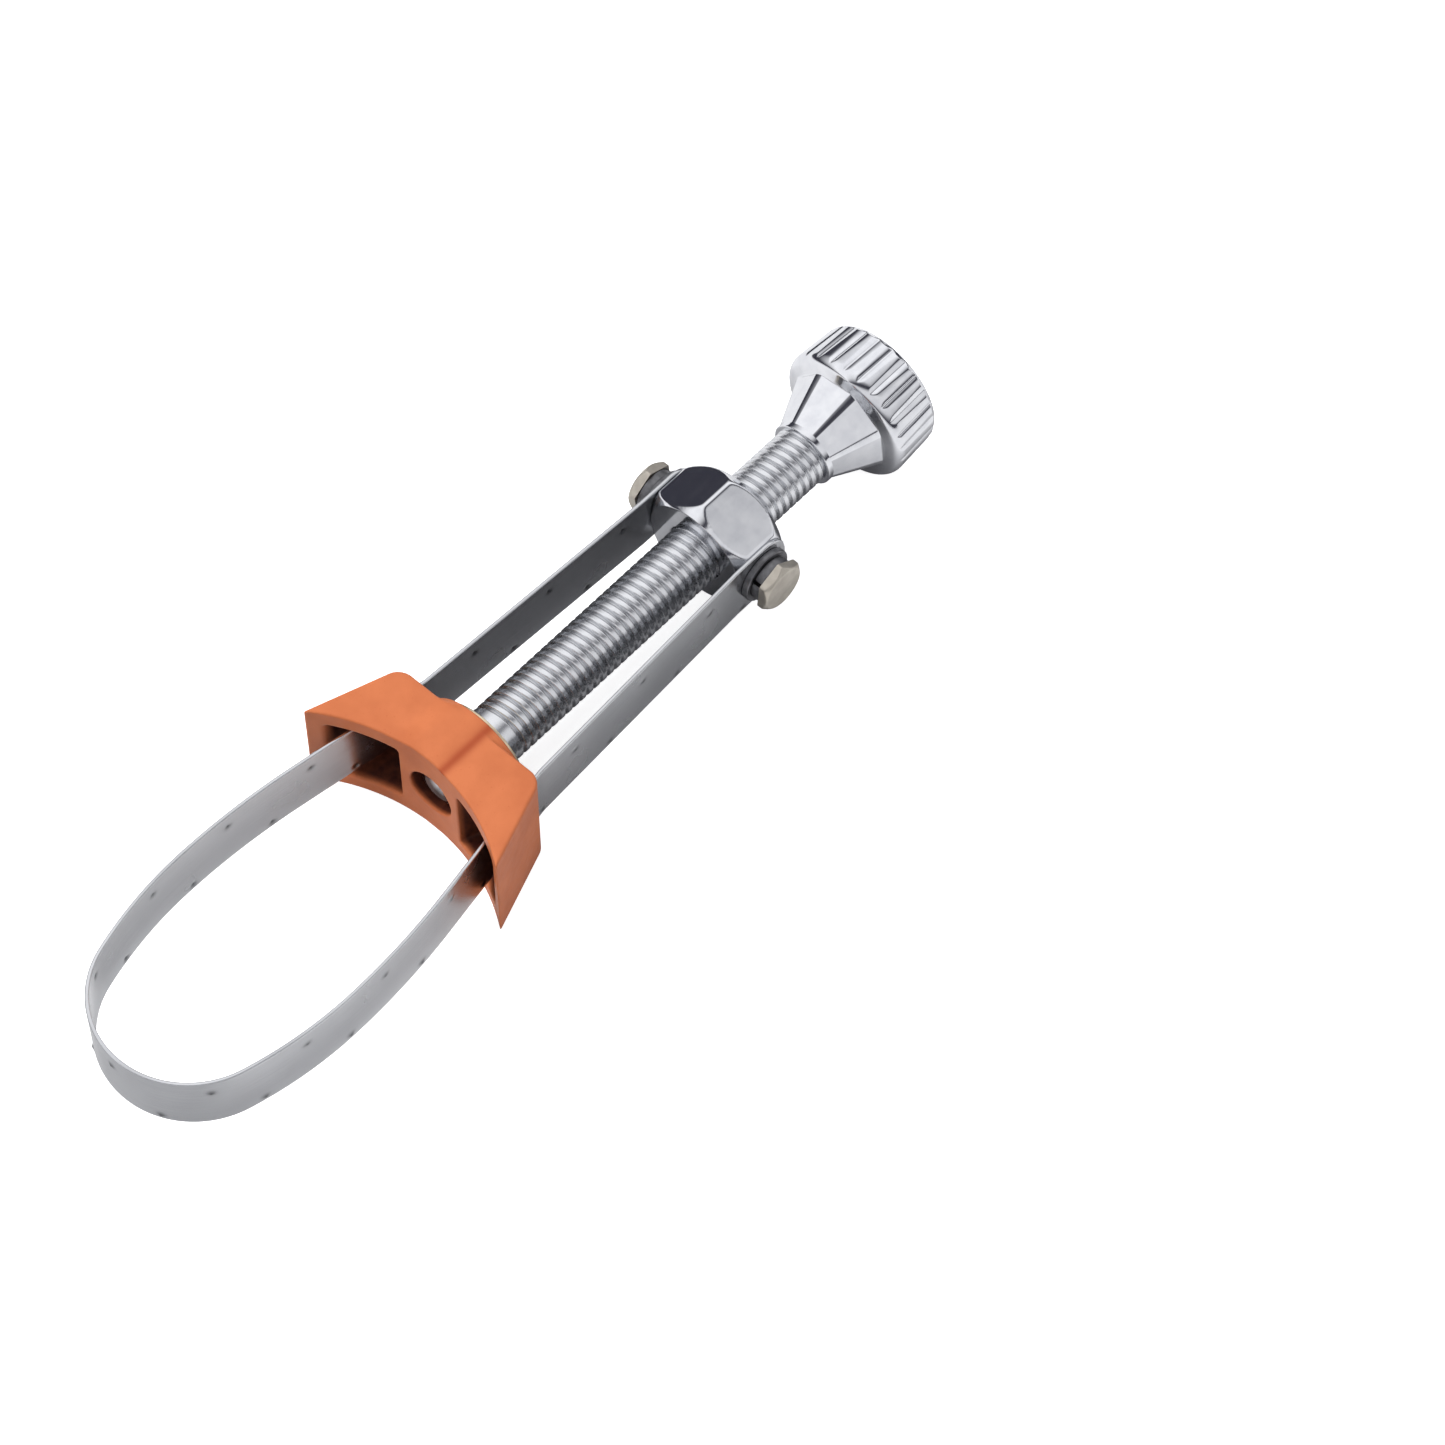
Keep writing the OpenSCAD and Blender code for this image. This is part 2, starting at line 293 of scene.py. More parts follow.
def surface_net(distance, low, high, cell):
    """Points and quads of the surface where distance is zero, with every point moved onto the surface."""
    axes = [np.arange(a - cell, b + 2 * cell, cell) for a, b in zip(low, high)]
    grid = np.stack(np.meshgrid(*axes, indexing="ij"), -1)
    inside = distance(grid[..., 0], grid[..., 1], grid[..., 2]) < 0
    corners = [inside[i:inside.shape[0] - 1 + i, j:inside.shape[1] - 1 + j, k:inside.shape[2] - 1 + k]
               for i in (0, 1) for j in (0, 1) for k in (0, 1)]
    filled = np.sum(corners, 0)
    mixed = (filled > 0) & (filled < 8)
    number = np.full(mixed.shape, -1)
    number[mixed] = np.arange(mixed.sum())
    cells = np.argwhere(mixed)
    points = np.array([a[0] for a in axes]) + (cells + 0.5) * cell
    quads = []
    for axis in range(3):
        u, v = [(1, 2), (2, 0), (0, 1)][axis]
        before = np.take(inside, range(inside.shape[axis] - 1), axis)
        after = np.take(inside, range(1, inside.shape[axis]), axis)
        for cross, flip in ((before & ~after, False), (~before & after, True)):
            at = np.argwhere(cross)
            at = at[(at[:, u] > 0) & (at[:, v] > 0)]
            ring = []
            for du, dv in ((1, 1), (0, 1), (0, 0), (1, 0)):
                near = at.copy()
                near[:, u] -= du
                near[:, v] -= dv
                ring.append(number[near[:, 0], near[:, 1], near[:, 2]])
            quads.append(np.stack(ring[::-1] if flip else ring, 1))
    quads = np.vstack(quads)
    links = np.vstack([quads[:, [0, 1]], quads[:, [1, 2]], quads[:, [2, 3]], quads[:, [3, 0]]])
    degree = np.bincount(links.ravel(), minlength=len(points))[:, None]
    for _ in range(4):
        points = onto_surface(distance, points, cell)
        total = np.zeros_like(points)
        for c in range(3):
            total[:, c] = (np.bincount(links[:, 0], points[links[:, 1], c], len(points))
                           + np.bincount(links[:, 1], points[links[:, 0], c], len(points)))
        points = total / degree
    return onto_surface(distance, points, cell), quads.tolist()


def onto_surface(distance, points, cell):
    """Moves points along the slope of the distance until it is zero."""
    h = 0.02
    for _ in range(5):
        x, y, z = points.T
        value = distance(x, y, z)
        slope = np.stack([distance(x + h, y, z) - distance(x - h, y, z),
                          distance(x, y + h, z) - distance(x, y - h, z),
                          distance(x, y, z + h) - distance(x, y, z - h)], 1) / (2 * h)
        size = np.maximum((slope ** 2).sum(1), 0.05)
        step = np.clip(value / size, -cell, cell)
        points = points - slope * step[:, None]
    return points


# ---------------------------------------------------------------- material tools

class Shader:
    """A principled material with short calls for the nodes these materials share."""

    def __init__(self, name, colour, metallic, roughness):
        self.material = bpy.data.materials.new(name)
        self.material.use_nodes = True
        self.tree = self.material.node_tree
        self.bsdf = self.tree.nodes["Principled BSDF"]
        self.bsdf.inputs["Base Color"].default_value = (*colour, 1)
        self.bsdf.inputs["Metallic"].default_value = metallic
        self.bsdf.inputs["Roughness"].default_value = roughness
        self.place = self.node("ShaderNodeTexCoord").outputs["Object"]

    def node(self, kind, **settings):
        made = self.tree.nodes.new(kind)
        for name, value in settings.items():
            setattr(made, name, value)
        return made

    def link(self, source, target):
        self.tree.links.new(source, target)

    def value(self, name):
        """A number stored on the mesh."""
        return self.node("ShaderNodeAttribute", attribute_name=name).outputs["Fac"]

    def noise(self, per_mm, detail=4, stretch=(1, 1, 1), rough=0.5):
        """Noise with so many features to the millimetre, squeezed along each axis by stretch."""
        mapping = self.node("ShaderNodeMapping")
        mapping.inputs["Scale"].default_value = [s * per_mm / MM for s in stretch]
        self.link(self.place, mapping.inputs["Vector"])
        texture = self.node("ShaderNodeTexNoise")
        texture.inputs["Scale"].default_value = 1
        texture.inputs["Detail"].default_value = detail
        texture.inputs["Roughness"].default_value = rough
        self.link(mapping.outputs["Vector"], texture.inputs["Vector"])
        return texture.outputs["Fac"]

    def math(self, operation, *values):
        made = self.node("ShaderNodeMath", operation=operation)
        for i, value in enumerate(values):
            if isinstance(value, (int, float)):
                made.inputs[i].default_value = value
            else:
                self.link(value, made.inputs[i])
        return made.outputs[0]

    def spread(self, source, low, high, from_low=0.0, from_high=1.0):
        made = self.node("ShaderNodeMapRange")
        self.link(source, made.inputs["Value"])
        ends = (("From Min", from_low), ("From Max", from_high), ("To Min", low), ("To Max", high))
        for name, value in ends:
            made.inputs[name].default_value = value
        return made.outputs["Result"]

    def mix(self, share, first, second):
        """Colour between two colours, or outputs, by share."""
        made = self.node("ShaderNodeMix", data_type="RGBA")
        for socket, value in ((made.inputs[0], share), (made.inputs[6], first), (made.inputs[7], second)):
            if isinstance(value, tuple):
                socket.default_value = (*value, 1)
            elif isinstance(value, (int, float)):
                socket.default_value = value
            else:
                self.link(value, socket)
        return made.outputs[2]

    def bump(self, height, depth_mm, strength=1.0):
        """Relief whose height runs from 0 to 1 over depth_mm. Later calls lie on top of earlier ones."""
        made = self.node("ShaderNodeBump")
        made.inputs["Strength"].default_value = strength
        made.inputs["Distance"].default_value = depth_mm * MM
        self.link(height, made.inputs["Height"])
        socket = self.bsdf.inputs["Normal"]
        if socket.is_linked:
            self.link(socket.links[0].from_socket, made.inputs["Normal"])
        self.link(made.outputs["Normal"], socket)

    def colour(self, output):
        self.link(output, self.bsdf.inputs["Base Color"])

    def roughness(self, output):
        self.link(output, self.bsdf.inputs["Roughness"])


def enamel():
    """Orange enamel over a die casting: slight orange peel, with painted shade deep in the windows and the
    screw pocket and along the crease beside the boss.
    """
    s = Shader("orange_enamel", (0.62, 0.15, 0.05), 0.0, 0.4)
    cloud = s.spread(s.noise(0.12, detail=3), 0, 1, 0.35, 0.65)
    tone = s.mix(cloud, (0.62, 0.182, 0.068), (0.54, 0.150, 0.054))
    speck = s.spread(s.noise(1.6, detail=3, rough=0.7), 0, 0.5, 0.62, 0.78)
    tone = s.mix(speck, tone, (0.45, 0.09, 0.03))
    # Painted shade deep in the windows and the screw pocket.
    hollow_shade = s.math("MULTIPLY", s.value("hollow_shade"), s.spread(s.noise(0.5), 0.85, 1.0, 0.3, 0.7))
    tone = s.mix(hollow_shade, tone, (0.035, 0.007, 0.006))
    # Painted shade along the crease beside the boss.
    s.colour(s.mix(s.value("crease"), tone, (0.34, 0.045, 0.012)))
    s.roughness(s.spread(s.noise(0.6), 0.36, 0.52))
    s.bsdf.inputs["Specular IOR Level"].default_value = 0.22
    s.bsdf.inputs["Coat Weight"].default_value = 0.03
    s.bsdf.inputs["Coat Roughness"].default_value = 0.2
    s.bump(s.noise(1.1, detail=2), 0.03, 0.5)
    return s.material


def chrome(name="chrome"):
    """Bright chrome plate with faint waves, hairline rubbing and a little haze."""
    s = Shader(name, (0.80, 0.81, 0.83), 1.0, 0.08)
    haze = s.noise(0.35, detail=5)
    rubbing = s.noise(1.2, detail=5, stretch=(0.08, 1, 1))
    s.colour(s.mix(s.spread(haze, 0, 1, 0.3, 0.7), (0.78, 0.79, 0.81), (0.68, 0.69, 0.72)))
    s.roughness(s.math("ADD", s.spread(haze, 0.05, 0.12), s.spread(rubbing, 0, 0.05, 0.5, 0.75)))
    s.bump(s.noise(0.25, detail=2), 0.02, 0.25)
    return s.material


def bright_thread():
    """Plated rolled thread: less polished than the knob, with painted shade towards the thread root and a
    darker peened end.
    """
    s = Shader("bright_thread", (0.72, 0.73, 0.74), 1.0, 0.2)
    s.roughness(s.spread(s.noise(0.8, detail=5), 0.20, 0.32))
    # Painted shade towards the thread root.
    tone = s.mix(s.value("depth"), (0.74, 0.75, 0.77), (0.55, 0.56, 0.58))
    # A darker colour on the peened end.
    s.colour(s.mix(s.value("end"), tone, (0.12, 0.085, 0.080)))
    s.bump(s.noise(1.5, detail=4), 0.01, 0.4)
    return s.material


def strip_steel():
    """Rolled strip steel: fine lines along the strip, soft blotches and painted shade in the punched dents.
    """
    s = Shader("strip_steel", (0.55, 0.56, 0.58), 1.0, 0.32)
    join = s.node("ShaderNodeCombineXYZ")
    s.link(s.math("MULTIPLY", s.value("strip_run"), 0.05), join.inputs[0])
    s.link(s.math("MULTIPLY", s.value("strip_rise"), 6.0), join.inputs[1])
    lines = s.node("ShaderNodeTexNoise")
    lines.inputs["Scale"].default_value = 1.0
    lines.inputs["Detail"].default_value = 5
    s.link(join.outputs[0], lines.inputs["Vector"])
    blotch = s.noise(0.08, detail=4)
    s.roughness(s.spread(blotch, 0.16, 0.30, 0.3, 0.7))
    tone = s.mix(s.spread(lines.outputs["Fac"], 0, 1, 0.3, 0.7), (0.56, 0.57, 0.585), (0.66, 0.67, 0.685))
    tone = s.mix(s.spread(blotch, 0, 0.35, 0.45, 0.75), tone, (0.46, 0.46, 0.47))
    # Painted shade in the punched dents.
    s.colour(s.mix(s.value("dent_shade"), tone, (0.10, 0.10, 0.105)))
    s.bump(lines.outputs["Fac"], 0.012, 0.5)
    return s.material


def nickel():
    """Warm dull nickel plate on the bolts."""
    s = Shader("dull_nickel", (0.55, 0.51, 0.44), 1.0, 0.38)
    s.colour(s.mix(s.spread(s.noise(0.5), 0, 1, 0.3, 0.7), (0.58, 0.54, 0.47), (0.47, 0.43, 0.37)))
    s.roughness(s.spread(s.noise(1.5), 0.3, 0.48))
    s.bump(s.noise(2.0, detail=3), 0.02, 0.4)
    return s.material


def dark_steel():
    """Oiled dark washers."""
    s = Shader("dark_steel", (0.16, 0.16, 0.17), 1.0, 0.4)
    s.colour(s.mix(s.spread(s.noise(0.8), 0, 1, 0.3, 0.7), (0.20, 0.20, 0.21), (0.12, 0.12, 0.125)))
    s.roughness(s.spread(s.noise(1.2), 0.3, 0.5))
    s.bump(s.noise(2.5, detail=3), 0.02, 0.4)
    return s.material


def pale_brass():
    """Pale yellow thrust washer with patchy tone and roughness."""
    s = Shader("pale_brass", (0.75, 0.62, 0.40), 1.0, 0.35)
    s.colour(s.mix(s.spread(s.noise(0.6), 0, 1, 0.3, 0.7), (0.86, 0.74, 0.54), (0.66, 0.54, 0.36)))
    s.roughness(s.spread(s.noise(1.0), 0.28, 0.45))
    s.bump(s.noise(2.2, detail=3), 0.015, 0.4)
    return s.material


# ---------------------------------------------------------------- saddle

def window_distance(x, side, z):
    """Distance to a window's walls, negative inside it. Each window narrows towards the saddle's back."""
    share = np.clip((x - SEAT_R) / (SADDLE_BACK_X - SEAT_R), 0, 1)
    hub = WINDOW_HUB_Y[0] + (WINDOW_HUB_Y[1] - WINDOW_HUB_Y[0]) * share - side
    narrowing = (WINDOW_END_Y[1] - WINDOW_END_Y[0]) / (SADDLE_BACK_X - WINDOW_FRONT_X)
    end = side - WINDOW_END_Y[0] - narrowing * (x - WINDOW_FRONT_X)
    return round_and(round_and(hub, end, 1.0), round_and(z - WINDOW_TOP, WINDOW_BOTTOM - z, 1.0), 1.0)


def saddle_distance(x, y, z):
    """Distance to the saddle's surface: block, seat, boss, windows and bore, with soft edges."""
    side = np.abs(y)
    tip_x = math.sqrt(SEAT_R ** 2 - SADDLE_TIP_HALF ** 2)
    slant = (SADDLE_TIP_HALF - SADDLE_BACK_HALF) / (SADDLE_BACK_X - tip_x)
    lean = math.cos(math.atan(slant))
    end = (side - SADDLE_BACK_HALF - slant * (SADDLE_BACK_X - x)) * lean
    plan = round_and(end, x - SADDLE_BACK_X, SADDLE_CORNER_R)
    top = z - SADDLE_TOP
    bottom = -BOSS_R - z
    block = round_and(plan, round_and(top, bottom, 0.5), 0.6)
    boss = round_and(np.hypot(y, z) - BOSS_R, x - BOSS_BACK_X, 0.4)
    above_base = np.clip((z + 9) / 6, 0.02, 1)
    fillet = (0.5 + 2.0 * np.clip((y - 0.5) / 4, 0, 1)) * above_base
    body = round_or(block, boss, fillet)
    seat = SEAT_R - np.hypot(x, y)
    body = round_and(body, seat, 0.35)
    body = round_and(body, -window_distance(x, side, z), 0.4)
    bore = np.hypot(y, z) - JOURNAL_R - 0.1
    pocket = np.maximum(np.hypot(y, z) - COUNTERBORE_R, x - COUNTERBORE_X)
    return round_and(body, -np.minimum(bore, pocket), 0.25)


def saddle_hollow_shade(points):
    """Share of painted shade on each point, from 0 to 1, growing deeper into the windows and the screw
    pocket.
    """
    x, y, z = points.T
    side, from_axis = np.abs(y), np.hypot(y, z)
    behind_seat = np.hypot(x, y) - SEAT_R
    in_window = (window_distance(x, side, z) < 0.3) & (x < SADDLE_BACK_X - 0.3)
    window = np.clip((behind_seat - 0.3) / 1.3, 0, 1) * in_window
    pocket = np.clip((behind_seat - 0.1) / 1.0, 0, 1) * (from_axis < COUNTERBORE_R + 0.4)
    return np.maximum(window ** 0.7, pocket)


def saddle_crease_shade(points):
    """How strongly the painted shade along the crease across the top beside the boss falls on each point,
    from 0 to 1.
    """
    x, y, z = points.T
    near = np.exp(-((y - CREASE_Y) / CREASE_HALF_WIDTH) ** 2)
    return CREASE_SHADE * near * (z > SADDLE_TOP - 0.5)


def make_saddle():
    low, high = cad_span("saddle")
    points, quads = surface_net(saddle_distance, low, high, SADDLE_CELL)
    piece = new_piece("saddle_casting", points, quads, enamel())
    # Painted shade for the enamel: in the windows and screw pocket, and along the crease.
    add_values(piece, "hollow_shade", saddle_hollow_shade(points))
    add_values(piece, "crease", saddle_crease_shade(points))
    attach(piece, "saddle")
    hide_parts("saddle")
    return piece


def make_thrust_washer():
    low, high = cad_span("thrust_washer")
    inner, outer = THRUST_WASHER_BORE_R, high[1]
    outline = rounded([(low[0], inner, 0.1), (low[0], outer, 0.25), (high[0], outer, 0.25),
                       (high[0], inner, 0.1)], closed=True)
    piece = lathe("thrust_washer_ring", outline[::-1], pale_brass(), 96, closed=True)
    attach(piece, "saddle")
    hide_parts("thrust_washer")


# ---------------------------------------------------------------- screw and knob

def thread_radius(x, angle):
    """Radius of a rolled right-hand thread, running out at both ends."""
    start = COLLAR_X + COLLAR_LEN
    turn = (x - start) / PITCH - angle / TURN
    from_crest = np.abs((turn + 0.5) % 1 - 0.5) * PITCH
    crest, root = 0.24 * PITCH, 0.44 * PITCH
    drop = np.clip((from_crest - crest) / (root - crest), 0, 1)
    drop = drop * drop * (3 - 2 * drop) * 0.35 + drop * 0.65
    fade = np.clip((x - start) / (0.6 * PITCH), 0, 1)
    return np.where(x < start - 0.01, 99.0, THREAD_R - THREAD_DEPTH * drop * fade)


def make_screw():
    low, high = cad_span("screw")
    neck_x = COUNTERBORE_X - 1.22
    end_outline = rounded([(low[0] + 1.3, 0, 0), (low[0] + 1.3, 0.9, 0.6), (low[0], 3.2, 0.5),
                           (low[0] + 0.5, PEEN_R, 0.5), (neck_x, PEEN_R, 0.2), (neck_x, JOURNAL_R, 0),
                           (COLLAR_X, JOURNAL_R, 0), (COLLAR_X, THREAD_R, 0.35),
                           (COLLAR_X + COLLAR_LEN, THREAD_R, 0)])
    rows = np.arange(COLLAR_X + COLLAR_LEN, KNOB_X + 0.5, PITCH / 14)
    thread_outline = [np.array([x, THREAD_R]) for x in rows[1:]]
    spigot = rounded([(KNOB_X + 0.5, SPIGOT_R, 0), (high[0], SPIGOT_R, 0.5), (high[0], 0.0, 0)])
    outline = divided(end_outline, 0.6) + thread_outline + spigot
    piece = lathe("screw_shaft", outline, bright_thread(), 96, limit=thread_radius)
    radius = np.hypot(*[np.array([v.co[i] for v in piece.data.vertices]) for i in (1, 2)]) / MM
    where = np.array([v.co[0] for v in piece.data.vertices]) / MM
    depth = np.clip((THREAD_R - radius) / THREAD_DEPTH, 0, 1) * (where > COLLAR_X + COLLAR_LEN)
    # Painted shade towards the thread root, by depth below the crest.
    add_values(piece, "depth", depth ** 2)
    # Darker colour on the peened end inside the saddle's pocket.
    add_values(piece, "end", np.clip((radius - 1.2) / 1.2, 0, 1) * (where < COUNTERBORE_X))
    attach(piece, "screw")
    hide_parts("screw")


def make_retaining_washer():
    low, high = cad_span("retaining_washer")
    outline = rounded([(low[0], JOURNAL_R, 0.1), (low[0], high[1], 0.2), (high[0], high[1], 0.2),
                       (high[0], JOURNAL_R, 0.1)], closed=True)
    piece = lathe("retaining_ring", outline[::-1], dark_steel(), 72, closed=True)
    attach(piece, "screw")
    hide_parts("retaining_washer")


def lobed(radius, angle, count, lobe_r):
    """Radius of an outline made of convex lobes, with a valley between each two."""
    from_lobe = angle % (TURN / count) - TURN / count / 2
    centre = radius - lobe_r
    return centre * np.cos(from_lobe) + np.sqrt(lobe_r ** 2 - (centre * np.sin(from_lobe)) ** 2)


def knob_limit(x, angle):
    """Neck flats and rim flutes: the radius where each cuts the knob."""
    along = x - KNOB_X
    down = TURN / 4 - angle
    share = np.clip((along - NECK_RING) / (NECK_TOP - NECK_RING), 0, 1)
    flat = FLAT_SHARE * (NECK_R + (NECK_TOP_R - NECK_R) * share)
    sector = TURN / NECK_FLATS
    from_flat = (down - FLAT_TURN + sector / 2) % sector - sector / 2
    on_neck = (along > NECK_RING + 0.02) & (along < NECK_TOP - 0.02)
    flats = np.where(on_neck, flat / np.cos(from_flat), 99.0)
    rim = RIM_R - RIM_TAPER * np.clip((along - RIM_BOTTOM) / (RIM_TOP - RIM_BOTTOM), 0, 1)
    flutes = lobed(rim, down - FLUTE_TURN, FLUTES, LOBE_R)
    return np.minimum(flats, np.where(along > NECK_TOP, flutes, 99.0))


def make_knob():
    x = KNOB_X
    rim_end = RIM_R - RIM_TAPER
    flange_x = RIM_BOTTOM - 0.7 * FLANGE_ROUND
    outline = rounded([(x, KNOB_BORE_R, 0), (x, NECK_R, 0.3), (x + NECK_RING, NECK_R, 0.25),
                       (x + NECK_TOP, NECK_TOP_R, 0.4), (x + flange_x, RIM_R, FLANGE_ROUND),
                       (x + RIM_TOP, rim_end, 0.5), (x + KNOB_LEN, rim_end - RIM_BEVEL, 0.4),
                       (x + KNOB_LEN, 0, 0)], steps=8)
    bore = rounded([(x + KNOB_BORE_LEN, 0, 0), (x + KNOB_BORE_LEN, KNOB_BORE_R, 0)])
    segments = NECK_FLATS * FLUTES * 2
    piece = lathe("knob_body", divided(bore + outline, 0.35), chrome("knob_chrome"), segments,
                  limit=knob_limit)
    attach(piece, "screw")
    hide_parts("knob")


# ---------------------------------------------------------------- nut and bolts

def hexagon(across, flats_at, edge_r):
    """Limit function for a hexagon with a flat facing the angle flats_at and its ridges rounded to edge_r."""
    half, sixth = across / 2, TURN / 6
    centre = (half - edge_r) / math.cos(sixth / 2)
    touch = math.atan2(edge_r * math.sin(sixth / 2), centre + edge_r * math.cos(sixth / 2))

    def limit(x, angle):
        from_ridge = (angle - flats_at) % sixth - sixth / 2
        flat = half / np.cos(sixth / 2 - np.abs(from_ridge))
        inner = np.maximum(edge_r ** 2 - (centre * np.sin(from_ridge)) ** 2, 0)
        ridge = centre * np.cos(from_ridge) + np.sqrt(inner)
        return np.where(np.abs(from_ridge) < touch, ridge, flat)
    return limit


def make_nut():
    half, bore = NUT_HALF_LEN, THREAD_R + 0.08
    turned, turned_len, ridge = NUT_TURNED_R, NUT_TURNED_LEN, NUT_AF / math.sqrt(3)
    outline = rounded([(-half, bore, 0.3), (-half, turned, 0.3), (turned_len - half, ridge, 3.5),
                       (half - turned_len, ridge, 3.5), (half, turned, 0.3), (half, bore, 0.3)],
                      closed=True, steps=8)
    outline = [p + np.array([NUT_MID_X, 0]) for p in divided(outline, 0.35, closed=True)]
    piece = lathe("nut_block", outline[::-1], chrome("nut_chrome"), 288,
                  limit=hexagon(NUT_AF, 0, NUT_EDGE_R), closed=True)
    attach(piece, "carriage")
    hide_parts("nut")


def on_flat(side):
    """Placement for a piece turned round X, standing on the nut's left (1) or right (-1) flat."""
    def place(points):
        along, u, v = points.T
        return np.stack([BOLT_X + u * side, side * (NUT_AF / 2 + along), v], 1)
    return place


def make_bolt(side, word):
    base, top = BOLT_HEAD_AT, BOLT_HEAD_AT + BOLT_HEAD
    shank, corner = BOLT_R - 0.05, BOLT_AF / math.sqrt(3)
    outline = rounded([(-4.2, 0, 0), (-4.2, shank, 0.4), (base, shank, 0), (base, corner + 0.1, 0.2),
                       (top - 1.1, corner + 0.1, 0.2), (top, corner - 1.0, 0.3), (top, 0, 0)])
    head = hexagon(BOLT_AF, math.radians(6), 0.35)

    def limit(x, angle):
        return np.where(x > base - 0.01, head(x, angle), 99.0)
    piece = lathe("bolt_" + word + "_turned", divided(outline, 0.3), nickel(), 180, limit=limit,
                  place=on_flat(side))
    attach(piece, "carriage")
    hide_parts("bolt_" + word)


def make_flat_washer(side, word):
    base, thick, inner, outer = FLAT_WASHER_AT, FLAT_WASHER_T, BOLT_R + 0.2, BOLT_R + 3.0
    outline = rounded([(base, inner, 0.1), (base, outer, 0.2), (base + thick, outer, 0.35),
                       (base + thick, inner, 0.1)], closed=True)
    piece = lathe("flat_washer_" + word + "_ring", outline, dark_steel(), 96, closed=True,
                  place=on_flat(side))
    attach(piece, "carriage")
    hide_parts("flat_washer_" + word)


def make_lock_washer(side, word):
    """A split ring whose ends stand a little apart."""
    base, thick, inner, outer = LOCK_WASHER_AT, LOCK_WASHER_T, BOLT_R + 0.1, BOLT_R + 1.9
    gap = math.radians(5)
    count = 72
    section = rounded([(0, inner, 0.2), (0, outer, 0.2), (thick, outer, 0.2), (thick, inner, 0.2)],
                      closed=True, steps=3)
    points, faces = [], []
    for i in range(count + 1):
        angle = math.radians(35) + gap + (TURN - 2 * gap) * i / count
        for along, radius in section:
            points.append((base + along, radius * math.cos(angle), radius * math.sin(angle)))
    n = len(section)
    for i in range(count):
        for j in range(n):
            k = (j + 1) % n
            faces.append((i * n + j, i * n + k, (i + 1) * n + k, (i + 1) * n + j))
    faces.append(tuple(range(n - 1, -1, -1)))
    faces.append(tuple(count * n + j for j in range(n)))
    piece = new_piece("lock_washer_" + word + "_spring", on_flat(side)(np.array(points)), faces, dark_steel())
    flat_ends(piece)
    keep_flats_flat(piece)
    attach(piece, "carriage")
    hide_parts("lock_washer_" + word)


# ---------------------------------------------------------------- band

def arc(centre, radius, start, end, step=0.5):
    """Points on an arc, with the angles in radians."""
    count = max(2, round(abs(end - start) * radius / step))
    angles = np.linspace(start, end, count + 1)
    return np.stack([centre[0] + radius * np.cos(angles), centre[1] + radius * np.sin(angles)], 1)


def band_path():
    """Middle line of the left half of the strip, from the loop's far end to the bolted end."""
    arm = LOOP_REACH - LOOP_TIP_R
    rise = LOOP_HALF_WIDTH - LOOP_TIP_R
    back_r = (arm * arm / rise + LOOP_HALF_WIDTH + LOOP_TIP_R) / 2
    back_angle = math.asin(arm / (back_r - LOOP_TIP_R))
    side_x = LOOP_SIDE_R * math.sin(PASS_ANGLE)
    side_y = LOOP_HALF_WIDTH - LOOP_SIDE_R * (1 - math.cos(PASS_ANGLE))
    exit_y = side_y - (EXIT_X - side_x) * math.tan(PASS_ANGLE)
    leg_angle = math.atan2(exit_y - FLAT_Y, FLAT_X - EXIT_X)
    quarter = TURN / 4
    parts = [
        arc((-arm, 0), LOOP_TIP_R, 2 * quarter, quarter + back_angle),
        arc((0, LOOP_HALF_WIDTH - back_r), back_r, quarter + back_angle, quarter),
        arc((0, LOOP_HALF_WIDTH - LOOP_SIDE_R), LOOP_SIDE_R, quarter, quarter - PASS_ANGLE),
        bend((EXIT_X, exit_y), PASS_ANGLE, leg_angle),
        bend((FLAT_X, FLAT_Y), leg_angle, 0),
        np.array([[STRIP_END_X, FLAT_Y]]),
    ]
    return resampled(np.vstack(parts), 0.5)


def bend(corner, slope_in, slope_out):
    """Outward bend of the strip between two downward slopes."""
    half = (slope_in - slope_out) / 2
    middle = (slope_in + slope_out) / 2
    centre = (corner[0] + BEND_R / math.cos(half) * math.sin(middle),
              corner[1] + BEND_R / math.cos(half) * math.cos(middle))
    return arc(centre, BEND_R, 3 * TURN / 4 - slope_in, 3 * TURN / 4 - slope_out)


def resampled(points, step):
    """The path with evenly spaced points."""
    run = np.append(0, np.cumsum(np.linalg.norm(np.diff(points, axis=0), axis=1)))
    keep = np.append(True, np.diff(run) > 1e-9)
    even = np.linspace(0, run[-1], round(run[-1] / step) + 1)
    return np.stack([np.interp(even, run[keep], points[keep, c]) for c in (0, 1)], 1)


def dent_depth(run, rise):
    """Depth of the punched grip dents: one every 10 mm, in two rows by turns."""
    which = np.round((run - DENT_START) / DENT_SPACING)
    row = np.where(which % 2 == 0, DENT_ROWS[0], DENT_ROWS[1])
    away = np.hypot(run - DENT_START - which * DENT_SPACING, rise - row)
    return DENT_DEPTH * np.exp(-(away / DENT_R) ** 2)


def strip_section():
    """Section of the strip as (offset, height share, inset): two faces with dents and rounded edges."""
    half_t, edge = STRIP_T / 2, 0.22
    heights = np.linspace(-1, 1, 43)
    turn = np.linspace(0, TURN / 4, 4)[1:]
    corner = [(half_t - edge + edge * math.cos(a), edge * math.sin(a) - edge) for a in turn]
    section = [(half_t, h, -edge * abs(h)) for h in heights]
    section += [(c[0], 1, c[1]) for c in corner]
    section += [(-c[0], 1, c[1]) for c in corner[::-1]]
    section += [(-half_t, h, -edge * abs(h)) for h in heights[::-1]]
    section += [(-c[0], -1, c[1]) for c in corner]
    section += [(c[0], -1, c[1]) for c in corner[::-1]]
    return section


